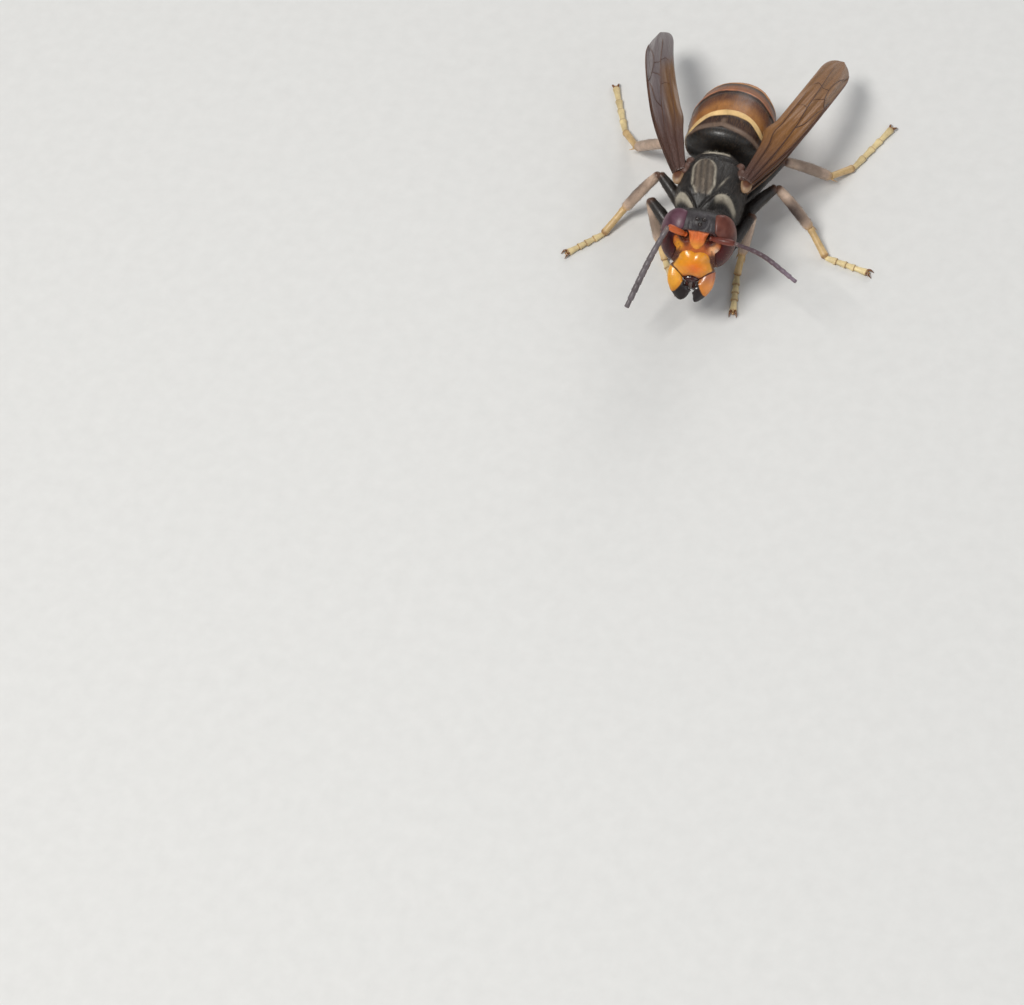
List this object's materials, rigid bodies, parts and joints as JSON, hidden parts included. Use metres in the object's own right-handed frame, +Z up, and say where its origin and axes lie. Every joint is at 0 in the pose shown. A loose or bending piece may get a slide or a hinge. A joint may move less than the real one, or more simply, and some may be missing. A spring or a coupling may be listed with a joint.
{
  "type": "yellow-legged hornet worker",
  "caption": "Life-size still model of a yellow-legged hornet worker standing on six feet, head raised, folded wings held out, with dark body, banded gaster and orange face.",
  "frame": {"origin": "on the floor, at the middle of the box that holds the whole insect", "axes": "+Z up, -Y the way the insect faces, +X to the insect's own left"},
  "size_m": [0.0228, 0.0266, 0.0091],
  "materials": {
    "head": "black to brown shell with fine hair, orange shield between the antennae",
    "eye": "glossy dark maroon with faint facets",
    "face": "glossy orange shell, black at the teeth",
    "mouthparts": "dark red-brown",
    "antenna": "dark brown to black, orange under the scape",
    "thorax": "velvety black-brown with fine short hair",
    "gaster": "dark brown and amber bands with pale rims, silky sheen",
    "wing": "smoky brown membrane with raised veins",
    "femur": "black shell with fine hair",
    "tibia": "brown shell, paler at both ends",
    "tarsus": "yellow with brown at the joints"
  },
  "bodies": {
    "root": {"antenna_left_scape": "antenna", "antenna_left_flagellum": "antenna", "eye_left": "eye", "mandible_left": "face", "antenna_right_scape": "antenna", "antenna_right_flagellum": "antenna", "eye_right": "eye", "mandible_right": "face", "head": "head", "clypeus": "face", "mouthparts": "mouthparts", "thorax": "thorax", "gaster_1": "gaster", "gaster_2": "gaster", "gaster_3": "gaster", "gaster_4": "gaster", "gaster_5": "gaster", "gaster_6": "gaster", "forewing_left": "wing", "hindwing_left": "wing", "forewing_right": "wing", "hindwing_right": "wing", "leg_fore_left_femur": "femur", "leg_fore_left_tibia": "tibia", "leg_fore_left_tarsus": "tarsus", "leg_fore_right_femur": "femur", "leg_fore_right_tibia": "tibia", "leg_fore_right_tarsus": "tarsus", "leg_mid_left_femur": "femur", "leg_mid_left_tibia": "tibia", "leg_mid_left_tarsus": "tarsus", "leg_mid_right_femur": "femur", "leg_mid_right_tibia": "tibia", "leg_mid_right_tarsus": "tarsus", "leg_hind_left_femur": "femur", "leg_hind_left_tibia": "tibia", "leg_hind_left_tarsus": "tarsus", "leg_hind_right_femur": "femur", "leg_hind_right_tibia": "tibia", "leg_hind_right_tarsus": "tarsus"}
  },
  "joints": []
}
